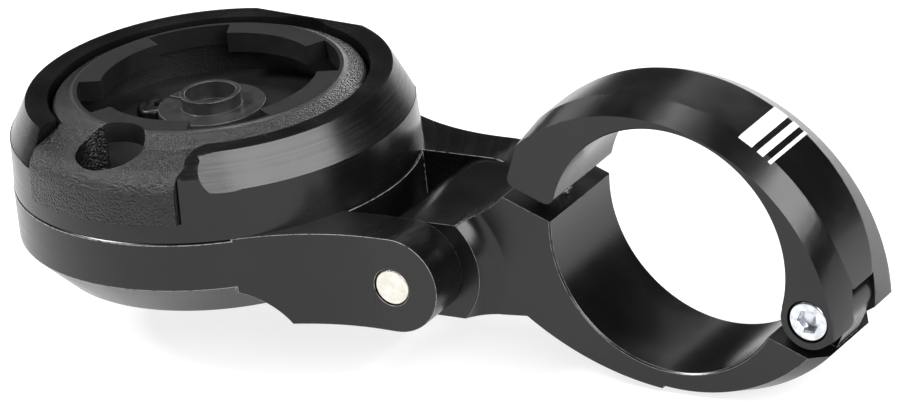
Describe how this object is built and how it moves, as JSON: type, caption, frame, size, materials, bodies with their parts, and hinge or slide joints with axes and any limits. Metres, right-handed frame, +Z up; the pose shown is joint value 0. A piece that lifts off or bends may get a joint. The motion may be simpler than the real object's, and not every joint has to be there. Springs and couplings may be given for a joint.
{
  "type": "cycling computer handlebar mount",
  "caption": "Out-front handlebar mount for a cycling computer: hinged bar clamp, tilting forked arm and a round puck with a quarter-turn bayonet insert.",
  "frame": {"origin": "centre of the handlebar bore, on the clamp's middle plane", "axes": "+Y along the handlebar bore, -X forward from the bar to the puck, +Z up, square to the puck's face"},
  "size_m": [0.1148, 0.0513, 0.0375],
  "materials": {
    "black_anodised": "satin black anodised, machined",
    "moulded_black": "grained moulded plastic",
    "hub_plastic": "smooth moulded plastic",
    "zinc_plated": "bright zinc plate",
    "bright_steel": "ground steel",
    "black_oxide": "black oxide",
    "spring_steel": "satin spring steel",
    "brass": "satin"
  },
  "bodies": {
    "clamp": {"lower_clamp": "black_anodised", "tilt_lock_screw": "black_oxide", "tilt_lock_pad": "brass"},
    "cap": {"clamp_cap": "black_anodised", "hinge_screw": "zinc_plated"},
    "bolt": {"clamp_bolt": "zinc_plated", "clamp_washer": "zinc_plated"},
    "arm": {"arm_base": "black_anodised", "tilt_pin": "bright_steel", "puck_housing": "black_anodised", "bayonet_insert": "moulded_black", "insert_screw_front": "black_oxide", "insert_screw_rear": "black_oxide", "hub_spring": "spring_steel", "housing_screw_1": "black_oxide", "housing_screw_2": "black_oxide", "housing_screw_3": "black_oxide", "housing_screw_4": "black_oxide"},
    "hub": {"centre_hub": "hub_plastic", "hub_clip": "spring_steel"}
  },
  "joints": [
    {"name": "cap_hinge", "type": "hinge", "parent": "clamp", "child": "cap", "pos_m": [0.01836, 0, -0.00688], "axis": [0, 1, 0], "range_deg": [0, 90]},
    {"name": "bolt_withdraw", "type": "slide", "parent": "clamp", "child": "bolt", "axis": [-0.377, 0, -0.9262], "range_m": [0, 0.019]},
    {"name": "arm_tilt", "type": "hinge", "parent": "clamp", "child": "arm", "pos_m": [-0.0341, 0, -0.0053], "axis": [0, 1, 0], "range_deg": [-25, 25]},
    {"name": "hub_press", "type": "slide", "parent": "arm", "child": "hub", "axis": [0, 0, -1], "range_m": [0, 0.0012], "stiffness_N_per_m": 800, "springref_m": -0.0005, "deforming": ["hub_spring"]}
  ],
  "couplings": [
    {"joint": "bolt_withdraw", "follows": "cap_hinge", "m_per_rad": 0.012}
  ]
}
